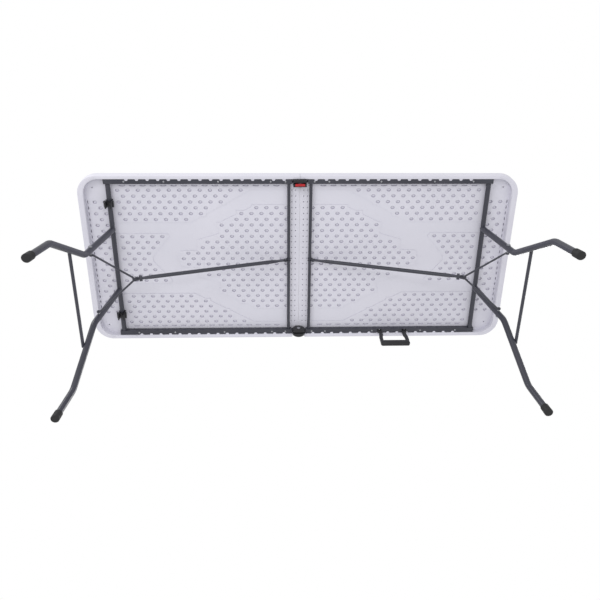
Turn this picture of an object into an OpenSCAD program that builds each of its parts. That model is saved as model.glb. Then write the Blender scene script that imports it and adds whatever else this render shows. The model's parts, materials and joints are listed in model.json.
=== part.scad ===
// Folding table: a blow-moulded top in two halves that fold face to face,
// on a steel frame with two folding leg frames, each held open by a brace.
// Millimetres. X runs along the table, Y across it, Z up. The feet stand on z = 0.

/* [Table] */
// Length of the open table
table_l = 1830; // [1800:5:1860]
// Width of the table
table_w = 760; // [755:5:790]
// Height of the table top above the floor
table_h = 740; // [730:5:760]
// Depth of the top, from its upper face to the lip of its rim
top_t = 45; // [44:1:48]
// Radius of the four corners in plan
corner_r = 80; // [72:2:100]
// Thickness of the moulded skins
skin = 2.2; // [1.8:0.1:3]
// Height of the hollow core between the two faces, skins included
core_t = 16.5; // [14:0.5:17]
// Width of the hollow rim along the sides
rim_w = 16; // [15:1:20]
// Width of the hollow rim at the ends
end_rim_w = 25; // [20:1:30]

/* [Frame] */
// Width of the side rails
rail_w = 20; // [20:1:22]
// Height of the side rails
rail_h = 22; // [22:1:24]
// Wall of every steel tube
wall = 1.2; // [1:0.1:1.5]
// Distance of each rail from the table's middle line
rail_y = 353; // [351:1:353]
// How far the rails reach along each half
rail_end = 804; // [800:2:820]
// Where the rails start beside the fold
rail_start = 33; // [32:1:36]
// Distance of the inner cross tubes from the fold
inner_x = 46; // [44:1:48]
// Radius of the inner cross tubes
inner_r = 6.5; // [6:0.5:7]

/* [Legs] */
// Distance of the outer cross tubes from the fold
pivot_x = 790; // [780:5:800]
// Outward lean of an open leg frame, in degrees
lean = 9.1; // [7:0.1:11]
// Angle through which a leg frame folds in, in degrees
fold_a = 98.2; // [96:0.1:99]
// Radius of the outer cross tubes
cross_r = 10; // [9:0.5:11]
// Radius of the leg tubes
leg_r = 12.5; // [11.5:0.5:12.5]
// Middle-line radius of the bends in the legs
bend_r = 70; // [50:5:90]
// Radius of the foot caps
foot_r = 16; // [15:0.5:17]
// How far below its pivot the brace is bolted to the leg
bolt_h = 240; // [230:5:250]
// How far below its pivot the rod between the legs sits
rod_h = 385; // [370:5:420]
// Radius of the rod between the legs
rod_r = 6.5; // [5:0.5:8]

/* [Braces] */
// Radius of the strut tube
strut_r = 8; // [7:0.5:8]
// Thickness of the strut's flattened ends
flat_t = 5; // [4:0.5:5]
// Height of the strut's flattened ends
flat_h = 18; // [16:1:18]
// Radius of the fork wires
wire_r = 4; // [3:0.5:4.5]

/* [Hidden] */
$fn = 64;
EPS = 0.01;
RUN = 0.05;                                  // radial clearance of a running fit
lip_z = table_h - top_t;                     // underside of the rim, height of the fold axis
under_z = table_h - core_t;                  // underside of the hollow core
rail_z = under_z - 1 - rail_h / 2;           // middle of the rails
pivot_z = under_z - 14;                      // axis of the outer cross tubes
seam = 0.4;                                  // half the gap between the two halves
notch_r = 28.8;                              // room in the rim for the far hinge
hinge_r = 28;                                // radius of the hinge caps
hinge_y = 349;                               // middle of the hinges
hinge_pin_r = 5;
leaf_t = 2.5;                                // thickness of a hinge leaf
leaf_l = 54;                                 // from the fold axis to its end in the rail
leaf_r = 10;                                 // radius of its eye
latch_z = lip_z - leaf_r;                    // underside of the near hinge
leaf_y = [hinge_y - 2.7, hinge_y + 0.1];     // inner faces of the left and right leaves
bush_r = 7.5;                                // plastic bushes in the rails
stub_r = 5.5;                                // ends of the outer cross tubes, in the bushes
screw_x = [60, 121, 337, 560, 722];          // frame screws along each rail
clip_y = 260;                                // closing clips, either side of the middle
clip_l = 27;
handle_x = 428;                              // middle of the carry handle
lug_dx = 57;                                 // its two lugs, either side of that
handle_z = 689;                              // its hinge line
lug_r = 5;
lug_screw_y = 7.5;                           // from the lug's middle in to its screw
grip_z = 586;                                // middle of the grip
grip_l = 130;

// leg path: points [across, down] from the outer cross tube's axis to the floor
leg_y = [141, 149, 301, 315];
leg_d = [0, 295, 554, pivot_z / cos(lean)];
leg_dir = [for (i = [0:2]) atan2(leg_y[i + 1] - leg_y[i], leg_d[i + 1] - leg_d[i])];
leg_len = [for (i = [0:2]) norm([leg_y[i + 1] - leg_y[i], leg_d[i + 1] - leg_d[i]])];
leg_turn = [leg_dir[1] - leg_dir[0], leg_dir[2] - leg_dir[1]];
leg_tan = [for (t = leg_turn) bend_r * tan(abs(t) / 2)];
bend_step = 0.03;                            // how far a bend stands proud of the straight tube
bend_lap = 0.5;                              // how far the straight tube runs on into a bend
foot_gap = 12;                               // from the tube's end to the floor, in the cap
foot_l = 36;                                 // length of a foot cap
function leg_across(d) =
    d < leg_d[1] ? leg_y[0] + d * tan(leg_dir[0]) : leg_y[1] + (d - leg_d[1]) * tan(leg_dir[1]);

// brace: a = strut on the inner tube, b = fork on the leg, j = strut on the fork
brace_a = [60, 704];
brace_b = [pivot_x + bolt_h * sin(lean), pivot_z - bolt_h * cos(lean)];
brace_folded_b = [pivot_x + bolt_h * sin(lean - fold_a), pivot_z - bolt_h * cos(lean - fold_a)];
open_d = norm(brace_b - brace_a);
folded_d = norm(brace_folded_b - brace_a);
strut_l = (open_d + folded_d) / 2;
fork_l = (open_d - folded_d) / 2;
brace_fall = atan2(brace_a[1] - brace_b[1], brace_b[0] - brace_a[0]);
taper = 28;                                  // from a flattened end to the round tube
eye_y = flat_t / 2 + 0.7;                    // inner face of the fork's eyes
eye_t = 4;
eye_r = 9;
bolt_y = leg_across(bolt_h);                 // middle of the leg tube at the brace bolt
fork_w = 128;                                // half the width of the fork at the legs
ring_s = 19;                                 // rest place of the lock ring, from the joint
ring_l = 12;

// placing: shapes are drawn on the right (+X) and far (+Y) side and mirrored
module left() { mirror([1, 0, 0]) children(); }
module near() { mirror([0, 1, 0]) children(); }
module both_ends() { children(); near() children(); }
module across_y(x, z) { translate([x, 0, z]) rotate([-90, 0, 0]) children(); }

// a cylinder along Y from y0 to y1
module pin_y(x, z, y0, y1, r) { across_y(x, z) translate([0, 0, y0]) cylinder(h = y1 - y0, r = r); }

// a flat piece drawn in the XZ plane, from y0 to y1
module plate_xz(y0, y1) { translate([0, y1, 0]) rotate([90, 0, 0]) linear_extrude(y1 - y0) children(); }

// ---- top ----

// plan outline of one half from x0 to x1, with the outer corners rounded
module half_plan(x0, x1, w, r) {
    translate([x0, -w / 2]) square([x1 - r - x0, w]);
    translate([x0, -w / 2 + r]) square([x1 - x0, w - 2 * r]);
    for (s = [-1, 1]) translate([x1 - r, s * (w / 2 - r)]) circle(r);
}

module half_block(x0, x1, w, r, z0, z1) {
    translate([0, 0, z0]) linear_extrude(z1 - z0) half_plan(x0, x1, w, r);
}

module top_half() {
    half_l = table_l / 2;
    recess_x = half_l - end_rim_w;
    recess_w = table_w - 2 * rim_w;
    recess_r = corner_r - rim_w;
    hinge_x = notch_r + 2 * skin;
    color("whitesmoke") difference() {
        half_block(seam, half_l, table_w, corner_r, lip_z, table_h);
        half_block(-1, recess_x, recess_w, recess_r, lip_z - 1, under_z);
        // hollow core and rim
        difference() {
            half_block(2 * skin, half_l - skin, table_w - 2 * skin, corner_r - skin,
                lip_z + skin, table_h - skin);
            half_block(-1, recess_x + skin, recess_w + 2 * skin, recess_r + skin,
                lip_z, under_z + skin);
            for (s = [-1, 1]) translate([0, s * table_w / 2, table_h - 30])
                cube([2 * hinge_x, 4 * rim_w, 100], center = true);
        }
        // notch for the far hinge
        pin_y(0, lip_z, recess_w / 2 - 8, table_w / 2 + 1, notch_r);
        // hole left by the blow needle
        translate([450, 60, under_z - 1]) cylinder(h = skin + 2, r = 4);
    }
}

module left_top() { left() top_half(); }
module right_top() { top_half(); }

// ---- frame of each half ----

module rail() {
    color("dimgray") difference() {
        translate([rail_start, rail_y - rail_w / 2, rail_z - rail_h / 2])
            cube([rail_end - rail_start, rail_w, rail_h]);
        translate([rail_start - 1, rail_y - rail_w / 2 + wall, rail_z - rail_h / 2 + wall])
            cube([rail_end - rail_start + 2, rail_w - 2 * wall, rail_h - 2 * wall]);
        pin_y(pivot_x, pivot_z, rail_y - rail_w, rail_y + rail_w, bush_r);
        for (x = screw_x) translate([x, rail_y, rail_z - rail_h]) cylinder(h = 2 * rail_h, r = 2.1);
    }
}

module left_rail_near() { left() near() rail(); }
module left_rail_far() { left() rail(); }
module right_rail_near() { near() rail(); }
module right_rail_far() { rail(); }

module inner_tube() {
    color("dimgray") difference() {
        pin_y(inner_x, rail_z, -rail_y + rail_w / 2, rail_y - rail_w / 2, inner_r);
        pin_y(inner_x, rail_z, -rail_y, rail_y, inner_r - wall);
    }
}

module left_inner_tube() { left() inner_tube(); }
module right_inner_tube() { inner_tube(); }

// cover plates pushed into the outer ends of the rails
module rail_plugs() {
    color("black") both_ends() translate([rail_end, rail_y, rail_z]) {
        translate([0, -rail_w / 2, -rail_h / 2]) cube([2, rail_w, rail_h]);
        translate([-3, -rail_w / 2 + wall, -rail_h / 2 + wall])
            cube([3, rail_w - 2 * wall, rail_h - 2 * wall]);
    }
}

module left_rail_plugs() { left() rail_plugs(); }
module right_rail_plugs() { rail_plugs(); }

module rail_screws() {
    color("silver") both_ends() for (x = screw_x) translate([x, rail_y, rail_z - rail_h / 2]) {
        translate([0, 0, -2]) cylinder(h = 2, r = 4);
        cylinder(h = under_z - rail_z + rail_h / 2, r = 2);
    }
}

module left_rail_screws() { left() rail_screws(); }
module right_rail_screws() { rail_screws(); }

// plastic bushes in the rails, in which the outer cross tubes turn
module pivot_bushes() {
    inner_face = rail_y - rail_w / 2;
    color("black") both_ends() difference() {
        union() {
            pin_y(pivot_x, pivot_z, inner_face - 1.5, inner_face, bush_r + 1.5);
            pin_y(pivot_x, pivot_z, inner_face, rail_y + rail_w / 2, bush_r);
        }
        pin_y(pivot_x, pivot_z, inner_face - 3, rail_y + rail_w, stub_r + RUN);
    }
}

module left_pivot_bushes() { left() pivot_bushes(); }
module right_pivot_bushes() { pivot_bushes(); }

// ---- hinges of the centre fold ----

// a leaf welded inside the rail's end, with its eye on the fold axis
module leaf(y0, hole_r) {
    inside = rail_h - 2 * wall;
    color("dimgray") plate_xz(y0, y0 + leaf_t) difference() {
        union() {
            translate([0, lip_z]) circle(leaf_r);
            translate([0, rail_z - inside / 2]) square([leaf_l, inside]);
        }
        translate([0, lip_z]) circle(hole_r);
    }
}

module left_leaf_near() { left() near() leaf(leaf_y[0], hinge_pin_r); }
module left_leaf_far() { left() leaf(leaf_y[0], hinge_pin_r); }
module right_leaf_near() { near() leaf(leaf_y[1], hinge_pin_r + RUN); }
module right_leaf_far() { leaf(leaf_y[1], hinge_pin_r + RUN); }

module hinge_pin(y1) {
    color("silver") {
        pin_y(0, lip_z, hinge_y - 18, hinge_y - 15, 8);
        pin_y(0, lip_z, hinge_y - 15, y1, hinge_pin_r);
    }
}

module hinge_pin_near() { near() hinge_pin(hinge_y + 12); }
module hinge_pin_far() { hinge_pin(hinge_y + 12); }

// round cap about the fold axis, flattened at the top and at the bottom
module hinge_cap(y0, y1, flat_z) {
    difference() {
        intersection() {
            pin_y(0, lip_z, y0, y1, hinge_r);
            translate([-hinge_r, y0, flat_z]) cube([2 * hinge_r, y1 - y0, under_z - 1 - flat_z]);
        }
        pin_y(0, lip_z, hinge_y - 20, hinge_y + 12, hinge_pin_r);
    }
}

module latch_body() {
    color("black") near() difference() {
        hinge_cap(hinge_y - 15, leaf_y[0], latch_z);
        translate([-10, hinge_y - 11, latch_z - 1]) cube([29, 5.2, 5.4]);
    }
}

module latch_slider() {
    color("crimson") near() {
        translate([-20, hinge_y - 10.6, latch_z - 4]) cube([40, 10, 3.7]);
        translate([-7, hinge_y - 10.6, latch_z - 0.3]) cube([14, 4.4, 4]);
    }
}

module hinge_cap_near() {
    color("darkslategray") near() hinge_cap(leaf_y[1] + leaf_t + 0.3, hinge_y + 14, latch_z);
}
module hinge_cap_far() { color("black") hinge_cap(hinge_y - 15, leaf_y[0], lip_z - 19); }
module hinge_dome_far() {
    tip_y = table_w / 2 - 6;
    dome_r = 41;
    color("black") intersection() {
        hinge_cap(leaf_y[1] + leaf_t + 0.3, tip_y, lip_z - 19);
        translate([0, tip_y - dome_r, lip_z]) sphere(dome_r);
    }
}

// ---- clips that hold the two halves shut ----

module closing_clip() {
    other_z = 2 * lip_z - pivot_z;
    jaw_r = cross_r + 0.4;
    shell_r = cross_r + 5.5;
    slot = 8;
    color("black") plate_xz(clip_y - clip_l / 2, clip_y + clip_l / 2) difference() {
        intersection() {
            union() {
                translate([pivot_x, pivot_z]) circle(shell_r);
                translate([pivot_x, other_z]) circle(shell_r);
                translate([pivot_x - 20.5, lip_z - 4]) square([41, 8]);
                translate([pivot_x - 11, other_z]) square([22, pivot_z - other_z]);
            }
            translate([pivot_x - 30, other_z - 9]) square([60, under_z - 0.3 - other_z + 9]);
        }
        translate([pivot_x, pivot_z]) circle(cross_r + RUN);
        translate([pivot_x - slot, pivot_z]) square([2 * slot, 30]);
        translate([pivot_x, other_z]) circle(jaw_r);
        translate([pivot_x - slot, other_z - 30]) square([2 * slot, 30]);
    }
}

module clip_near() { left() near() closing_clip(); }
module clip_far() { left() closing_clip(); }

// ---- carry handle ----

module handle_lugs() {
    color("black") for (s = [-1, 1]) translate([handle_x + s * lug_dx, rail_y, 0]) {
        difference() {
            translate([-9, -10, rail_z - rail_h / 2 - 3]) cube([18, 20, 3]);
            translate([0, -lug_screw_y, rail_z - rail_h]) cylinder(h = rail_h, r = 2);
        }
        difference() {
            union() {
                translate([s * 4.7 - 4.3, 0, handle_z]) rotate([0, 90, 0])
                    cylinder(h = 8.6, r = lug_r);
                translate([s * 4.7 - 4.3, -lug_r, handle_z])
                    cube([8.6, 2 * lug_r, rail_z - rail_h / 2 - 3 - handle_z]);
            }
            translate([-20, 0, handle_z]) rotate([0, 90, 0]) cylinder(h = 40, r = 2.5);
        }
    }
}

module handle_pins() {
    color("silver") for (s = [-1, 1]) translate([handle_x + s * lug_dx - 9, rail_y, handle_z])
        rotate([0, 90, 0]) cylinder(h = 18, r = 2.5);
}

module handle_screws() {
    color("silver") for (s = [-1, 1])
        translate([handle_x + s * lug_dx, rail_y - lug_screw_y, rail_z - rail_h / 2 - 5]) {
            cylinder(h = 2, r = 2.4);
            translate([0, 0, 2]) cylinder(h = 3, r = 2);
        }
}

module carry_handle() {
    neck = lug_dx - 4.7;
    color("black") translate([handle_x, rail_y, 0]) {
        rotate([0, 90, 0]) translate([-grip_z, 0, -grip_l / 2]) linear_extrude(grip_l) {
            square([8, 16], center = true);
            for (s = [-1, 1]) translate([s * 4, 0]) circle(8);
        }
        for (s = [-1, 1]) {
            difference() {
                union() {
                    translate([s * neck - 4.1, 0, handle_z]) rotate([0, 90, 0])
                        cylinder(h = 8.2, r = lug_r);
                    translate([s * neck - 4.1, -3, handle_z - 42]) cube([8.2, 6, 42]);
                }
                translate([s * neck - 9, 0, handle_z]) rotate([0, 90, 0])
                    cylinder(h = 18, r = 2.5 + RUN);
            }
            translate([s > 0 ? neck - 4.1 : -grip_l / 2, -4, handle_z - 50])
                cube([grip_l / 2 - neck + 4.1, 8, 9]);
            translate([s > 0 ? grip_l / 2 - 9 : -grip_l / 2, -4, grip_z]) cube([9, 8, handle_z - 50 - grip_z]);
        }
    }
}

// ---- leg frames ----

// drawn in the leg frame's own plane: +Z runs down the legs from the pivot axis
module leg_plane() {
    translate([pivot_x, 0, pivot_z]) rotate([0, -lean, 0]) mirror([0, 0, 1]) children();
}

// a straight stretch, let into the bends at its ends
module straight(l) {
    translate([0, 0, -bend_lap]) difference() {
        cylinder(h = l + 2 * bend_lap, r = leg_r);
        translate([0, 0, -1]) cylinder(h = l + 2 * bend_lap + 2, r = leg_r - wall);
    }
    translate([0, 0, l]) children();
}

// a bend from +Z towards +Y, or towards -Y where turn is negative; its wall is a hair
// thicker than the straight tube's on both sides
module bend(turn) {
    side = turn < 0 ? 180 : 0;
    rotate([0, 0, side]) translate([0, bend_r, 0]) {
        rotate([90, 0, -90]) rotate_extrude(angle = abs(turn))
            translate([bend_r, 0]) difference() {
                circle(leg_r + bend_step);
                circle(leg_r - wall - bend_step);
            }
        rotate([-abs(turn), 0, 0]) translate([0, -bend_r, 0]) rotate([0, 0, -side]) children();
    }
}

// one tube, bent outward below the brace bolt and straightened again above the foot
module leg() {
    color("dimgray") difference() {
        leg_plane() translate([0, leg_y[0], 0]) rotate([-leg_dir[0], 0, 0])
            straight(leg_len[0] - leg_tan[0])
            bend(leg_turn[0])
            straight(leg_len[1] - leg_tan[0] - leg_tan[1])
            bend(leg_turn[1])
            straight(leg_len[2] - leg_tan[1] - foot_gap - bend_lap);
        pin_y(pivot_x, pivot_z, 0, table_w, cross_r);
        pin_y(brace_b[0], brace_b[1], 0, table_w, 4);
    }
}

module left_leg_near() { left() near() leg(); }
module left_leg_far() { left() leg(); }
module right_leg_near() { near() leg(); }
module right_leg_far() { leg(); }

module foot() {
    color("black") difference() {
        leg_plane() translate([0, leg_y[3], leg_d[3]]) rotate([-leg_dir[2], 0, 0]) difference() {
            translate([0, 0, -foot_l]) cylinder(h = foot_l + 10, r = foot_r);
            translate([0, 0, -foot_l - 1]) cylinder(h = foot_l + 1 - foot_gap, r = leg_r);
        }
        translate([pivot_x, 0, -50]) cube([400, 400, 50]);
    }
}

module left_foot_near() { left() near() foot(); }
module left_foot_far() { left() foot(); }
module right_foot_near() { near() foot(); }
module right_foot_far() { foot(); }

module cross_tube() {
    shoulder = rail_y - rail_w / 2 - 1.7;
    color("dimgray") difference() {
        union() {
            pin_y(pivot_x, pivot_z, -shoulder, shoulder, cross_r);
            pin_y(pivot_x, pivot_z, -rail_y - rail_w / 2, rail_y + rail_w / 2, stub_r);
        }
        pin_y(pivot_x, pivot_z, -table_w, table_w, stub_r - wall);
        pin_y(pivot_x, pivot_z, -shoulder + 6, shoulder - 6, cross_r - wall);
    }
}

module left_cross_tube() { left() cross_tube(); }
module right_cross_tube() { cross_tube(); }

// rod welded across the outer side of both legs
module leg_rod() {
    reach = leg_across(rod_h) + 8;
    color("dimgray") leg_plane() difference() {
        pin_y(leg_r + rod_r - 2, rod_h, -reach, reach, rod_r);
        pin_y(leg_r + rod_r - 2, rod_h, -reach - 1, reach + 1, rod_r - wall);
        both_ends() translate([0, leg_y[1], leg_d[1]]) rotate([-leg_dir[1], 0, 0])
            cylinder(h = leg_len[1], r = leg_r);
    }
}

module left_leg_rod() { left() leg_rod(); }
module right_leg_rod() { leg_rod(); }

// bolts through the legs, each with a spacer towards the fork's eye
module brace_bolts() {
    color("silver") both_ends() {
        pin_y(brace_b[0], brace_b[1], fork_w + 0.6, bolt_y + leg_r + 4, 4);
        pin_y(brace_b[0], brace_b[1], fork_w + 0.6, bolt_y - leg_r - 0.4, 6.5);
        pin_y(brace_b[0], brace_b[1], bolt_y + leg_r + 0.4, bolt_y + leg_r + 5, 7);
    }
}

module left_brace_bolts() { left() brace_bolts(); }
module right_brace_bolts() { brace_bolts(); }

// ---- braces ----

module strut_bracket() {
    tilt = atan2(brace_a[1] - rail_z, brace_a[0] - inner_x);
    gap = norm([brace_a[0] - inner_x, brace_a[1] - rail_z]);
    color("dimgray") both_ends() plate_xz(eye_y, eye_y + 3) difference() {
        union() {
            translate([inner_x, rail_z]) circle(inner_r + 3);
            translate(brace_a) circle(7);
            translate([inner_x, rail_z]) rotate(tilt) translate([0, -7]) square([gap, 14]);
        }
        translate([inner_x, rail_z]) circle(inner_r);
        translate(brace_a) circle(3);
    }
}

module left_strut_bracket() { left() strut_bracket(); }
module right_strut_bracket() { strut_bracket(); }

module strut_pin() {
    color("silver") {
        pin_y(brace_a[0], brace_a[1], -eye_y - 3, eye_y + 3, 3);
        both_ends() pin_y(brace_a[0], brace_a[1], eye_y + 3, eye_y + 4.5, 5);
    }
}

module left_strut_pin() { left() strut_pin(); }
module right_strut_pin() { strut_pin(); }

// drawn along the brace: +X runs from the inner pivot down to the leg
module brace_line(from) {
    translate([brace_a[0], 0, brace_a[1]]) rotate([0, brace_fall, 0])
        translate([from, 0, 0]) children();
}

// a flattened end about the origin, that widens into the round tube
module flat_end(l, h) {
    rotate([90, 0, 0]) cylinder(h = flat_t, r = h / 2, center = true);
    translate([0, -flat_t / 2, -h / 2]) cube([l, flat_t, h]);
    hull() {
        translate([l - EPS, -flat_t / 2, -h / 2]) cube([EPS, flat_t, h]);
        translate([l + taper, 0, 0]) rotate([0, 90, 0]) cylinder(h = 1, r = strut_r);
    }
}

module strut() {
    inner_flat = 34;
    outer_flat = 40;
    color("dimgray") brace_line(0) difference() {
        union() {
            flat_end(inner_flat, 16);
            translate([strut_l, 0, 0]) mirror([1, 0, 0]) flat_end(outer_flat, flat_h);
            translate([inner_flat + taper, 0, 0]) rotate([0, 90, 0])
                cylinder(h = strut_l - inner_flat - outer_flat - 2 * taper, r = strut_r);
        }
        translate([inner_flat + taper + 2, 0, 0]) rotate([0, 90, 0])
            cylinder(h = strut_l - inner_flat - outer_flat - 2 * taper - 4, r = strut_r - wall);
        pin_y(0, 0, -20, 20, 3 + RUN);
        pin_y(strut_l, 0, -20, 20, 3);
    }
}

module left_strut() { left() strut(); }
module right_strut() { strut(); }

module joint_rivet() {
    head = eye_y + eye_t + 0.2;
    color("silver") brace_line(strut_l) {
        pin_y(0, 0, -head, head, 3);
        both_ends() pin_y(0, 0, head, head + 1.6, 4.2);
    }
}

module left_joint_rivet() { left() joint_rivet(); }
module right_joint_rivet() { joint_rivet(); }

// oval ring that slides along the flattened end and locks the joint straight
module lock_ring() {
    color("dimgray") brace_line(strut_l - ring_s - ring_l) rotate([0, 90, 0])
        linear_extrude(ring_l) difference() {
            oval(flat_h / 2 + 3.8, eye_y + eye_t + 3.2);
            oval(flat_h / 2 + 0.6, eye_y + eye_t + 0.4);
        }
}

// half-height a and half-width b, with round corners
module oval(a, b) {
    square([2 * a - 2 * b * 0.6, 2 * b], center = true);
    square([2 * a, 2 * b - 2 * b * 0.6], center = true);
    for (i = [-1, 1], k = [-1, 1]) translate([i * (a - b * 0.6), k * (b - b * 0.6)]) circle(b * 0.6);
}

module left_lock_ring() { left() lock_ring(); }
module right_lock_ring() { lock_ring(); }

// one wire of the fork: an eye at the joint, a slanting run and an eye at the leg
module fork_wire() {
    run_from = [6, eye_y + eye_t + 0.6];
    run_to = [fork_l - 6, fork_w - 3];
    run = run_to - run_from;
    color("dimgray") brace_line(strut_l) difference() {
        union() {
            pin_y(0, 0, eye_y, eye_y + eye_t, eye_r);
            translate([-16, eye_y, -5]) cube([16, eye_t, 10]);
            translate([run_from[0], run_from[1], 0]) rotate([0, 0, atan2(run[1], run[0])])
                rotate([0, 90, 0]) cylinder(h = norm(run), r = wire_r);
            pin_y(fork_l, 0, fork_w - 6, fork_w, 8);
        }
        pin_y(0, 0, 0, eye_y + eye_t + 10, 3 + RUN);
        pin_y(fork_l, 0, fork_w - 30, fork_w + 1, 4.5);
    }
}

module left_fork_near() { left() near() fork_wire(); }
module left_fork_far() { left() fork_wire(); }
module right_fork_near() { near() fork_wire(); }
module right_fork_far() { fork_wire(); }

left_top();
right_top();
left_rail_near();
left_rail_far();
right_rail_near();
right_rail_far();
left_inner_tube();
right_inner_tube();
left_rail_plugs();
right_rail_plugs();
left_rail_screws();
right_rail_screws();
left_pivot_bushes();
right_pivot_bushes();
left_leaf_near();
left_leaf_far();
right_leaf_near();
right_leaf_far();
hinge_pin_near();
hinge_pin_far();
latch_body();
hinge_cap_near();
hinge_cap_far();
hinge_dome_far();
latch_slider();
clip_near();
clip_far();
carry_handle();
handle_lugs();
handle_pins();
handle_screws();
left_cross_tube();
right_cross_tube();
left_leg_near();
left_leg_far();
right_leg_near();
right_leg_far();
left_leg_rod();
right_leg_rod();
left_foot_near();
left_foot_far();
right_foot_near();
right_foot_far();
left_brace_bolts();
right_brace_bolts();
left_strut_bracket();
right_strut_bracket();
left_strut_pin();
right_strut_pin();
left_strut();
right_strut();
left_lock_ring();
right_lock_ring();
left_joint_rivet();
right_joint_rivet();
left_fork_near();
left_fork_far();
right_fork_near();
right_fork_far();
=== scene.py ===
import json
import math

import bpy
from mathutils import Matrix, Vector


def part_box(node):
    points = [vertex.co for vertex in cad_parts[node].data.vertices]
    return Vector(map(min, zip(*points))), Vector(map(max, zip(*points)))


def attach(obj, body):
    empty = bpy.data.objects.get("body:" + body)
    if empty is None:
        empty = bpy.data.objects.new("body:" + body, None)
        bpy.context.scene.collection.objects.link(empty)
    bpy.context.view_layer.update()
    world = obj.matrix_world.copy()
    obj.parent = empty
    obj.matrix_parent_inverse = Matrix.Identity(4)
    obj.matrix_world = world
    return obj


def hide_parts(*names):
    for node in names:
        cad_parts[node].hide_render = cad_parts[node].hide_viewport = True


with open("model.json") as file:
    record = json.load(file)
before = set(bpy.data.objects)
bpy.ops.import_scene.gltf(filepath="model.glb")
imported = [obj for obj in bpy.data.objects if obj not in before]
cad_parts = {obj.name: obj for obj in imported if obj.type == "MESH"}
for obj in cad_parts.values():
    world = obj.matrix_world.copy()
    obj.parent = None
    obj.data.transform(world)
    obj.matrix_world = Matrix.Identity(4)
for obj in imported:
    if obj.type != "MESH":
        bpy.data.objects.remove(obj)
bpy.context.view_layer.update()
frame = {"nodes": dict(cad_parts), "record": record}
nodes = frame["nodes"]
print("frame loaded:", len(nodes), "nodes")

# tolerances
fine = {
    "near": 0.00005,        # places closer than this count as the same
    "weld": 0.00002,        # points of the tops this close become one
    "smallWeld": 0.000005,  # the same, on small fittings
    "cut": 0.00001,         # points this close to a cutting plane are put on it
}


# selecting and editing

def allOff():
    if bpy.context.mode != "OBJECT":
        bpy.ops.object.mode_set(mode="OBJECT")
    bpy.ops.object.select_all(action="DESELECT")


def only(piece):
    allOff()
    piece.select_set(True)
    bpy.context.view_layer.objects.active = piece


def editNothing(piece, kind="FACE"):
    only(piece)
    bpy.ops.object.mode_set(mode="EDIT")
    bpy.ops.mesh.select_mode(type=kind)
    bpy.ops.mesh.select_all(action="DESELECT")
    bpy.ops.object.mode_set(mode="OBJECT")


def pickFaces(piece, wanted):
    editNothing(piece, "FACE")
    for face in piece.data.polygons:
        face.select = wanted(face)
    bpy.ops.object.mode_set(mode="EDIT")


def pickEdges(piece, wanted):
    editNothing(piece, "EDGE")
    points = piece.data.vertices
    for edge in piece.data.edges:
        edge.select = wanted(points[edge.vertices[0]].co, points[edge.vertices[1]].co)
    bpy.ops.object.mode_set(mode="EDIT")


def pickPoints(piece, wanted):
    editNothing(piece, "VERT")
    for point in piece.data.vertices:
        point.select = wanted(point.co)
    bpy.ops.object.mode_set(mode="EDIT")


def pickAll(piece):
    only(piece)
    bpy.ops.object.mode_set(mode="EDIT")
    bpy.ops.mesh.select_all(action="SELECT")


def newPiece(name):
    piece = bpy.context.active_object
    piece.name = name
    piece.data.name = name
    return piece


def copyOf(piece, name, move=(0, 0, 0)):
    twin = piece.copy()
    twin.data = piece.data.copy()
    twin.name = twin.data.name = name
    bpy.context.scene.collection.objects.link(twin)
    twin.data.transform(Matrix.Translation(move))
    return twin


def joined(pieces, name):
    allOff()
    for piece in pieces:
        piece.select_set(True)
    bpy.context.view_layer.objects.active = pieces[0]
    if len(pieces) > 1:
        bpy.ops.object.join()
    return newPiece(name)


def settle(piece):
    only(piece)
    bpy.ops.object.transform_apply(location=True, rotation=True, scale=True)


def withModifier(piece, kind, **settings):
    only(piece)
    modifier = piece.modifiers.new(kind.title(), kind)
    for key, value in settings.items():
        setattr(modifier, key, value)
    bpy.ops.object.modifier_apply(modifier=modifier.name)


def block(name, centre, size):
    allOff()
    bpy.ops.mesh.primitive_cube_add(size=1)
    piece = newPiece(name)
    piece.data.transform(Matrix.Translation(centre) @ Matrix.Diagonal((*size, 1)))
    return piece


def cutWith(piece, cutter):
    withModifier(piece, "BOOLEAN", operation="DIFFERENCE", object=cutter, solver="EXACT")
    bpy.data.objects.remove(cutter)


def roundCutter(sides, radius, depth, place, turn=(0, 0, 0)):
    allOff()
    bpy.ops.mesh.primitive_cylinder_add(vertices=sides, radius=radius, depth=depth, location=place,
                                        rotation=turn)
    cutter = newPiece("cutter")
    settle(cutter)
    return cutter


def mergeDoubles(piece, distance=fine["weld"]):
    pickAll(piece)
    bpy.ops.mesh.remove_doubles(threshold=distance)
    bpy.ops.mesh.normals_make_consistent(inside=False)
    bpy.ops.object.mode_set(mode="OBJECT")


def mirroredX(piece, name):
    twin = copyOf(piece, name)
    twin.data.transform(Matrix.Scale(-1, 4, (1, 0, 0)))
    twin.data.flip_normals()
    return twin


def smooth(piece, angle=35):
    only(piece)
    bpy.ops.object.shade_smooth_by_angle(angle=math.radians(angle))


def finishPiece(piece, body, slot, material, *replaced):
    piece.data.materials.clear()
    piece.data.materials.append(material)
    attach(piece, body)
    if replaced:
        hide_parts(*replaced)


# camera and light

view = {
    "place": (-0.1097, -1.2091, -2.0890),
    "climb": 63.24,
    "swing": 4.69,
    "roll": -4.58,
    "lens": 41.92,
    "sensor": 36.0,
    "clipEnd": 50.0,
}


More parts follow.
